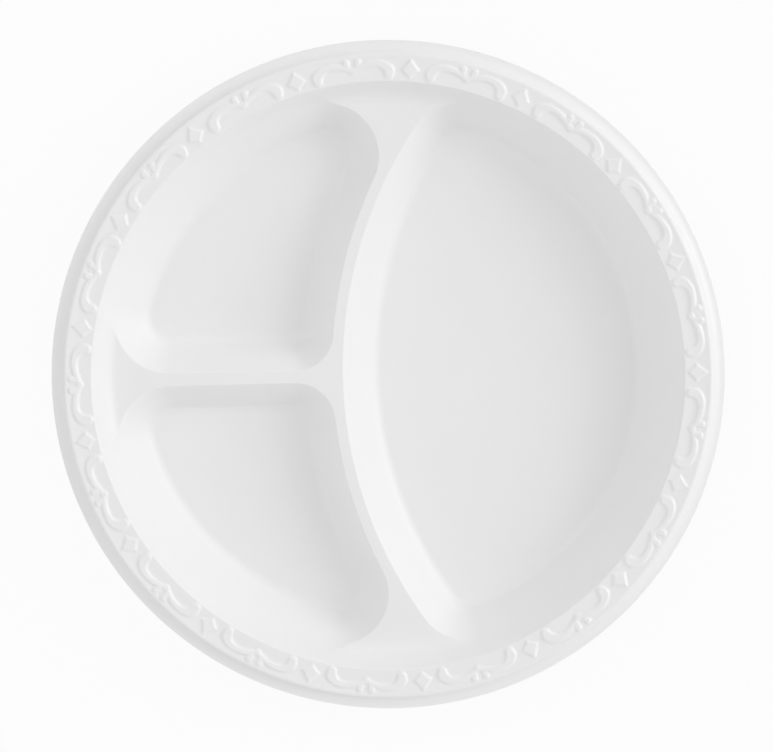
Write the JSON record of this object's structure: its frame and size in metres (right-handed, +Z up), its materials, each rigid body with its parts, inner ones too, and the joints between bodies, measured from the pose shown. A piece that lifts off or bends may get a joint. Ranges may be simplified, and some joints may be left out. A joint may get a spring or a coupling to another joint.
{
  "type": "divided plate",
  "caption": "Round thin-walled serving plate whose curved and cross dividers part a large compartment from small pockets, with a lip and an embossed scroll border on its rim.",
  "frame": {"origin": "on the resting plane under the floors, below the middle of the round rim", "axes": "+Z up, out of the compartments' mouths; +X from the middle towards the large compartment; +Y towards the back pocket"},
  "size_m": [0.26, 0.26, 0.0254],
  "materials": {
    "sheet": "white moulded plastic sheet with a soft satin sheen"
  },
  "bodies": {
    "root": {"rim_lip": "sheet", "rim_band": "sheet", "rim_lozenges": "sheet", "rim_scrolls": "sheet", "rim_beads": "sheet", "rim_collar": "sheet", "divider_top": "sheet", "large_compartment_wall": "sheet", "large_compartment_floor": "sheet", "back_pocket_wall": "sheet", "back_pocket_floor": "sheet", "front_pocket_wall": "sheet", "front_pocket_floor": "sheet"}
  },
  "joints": []
}
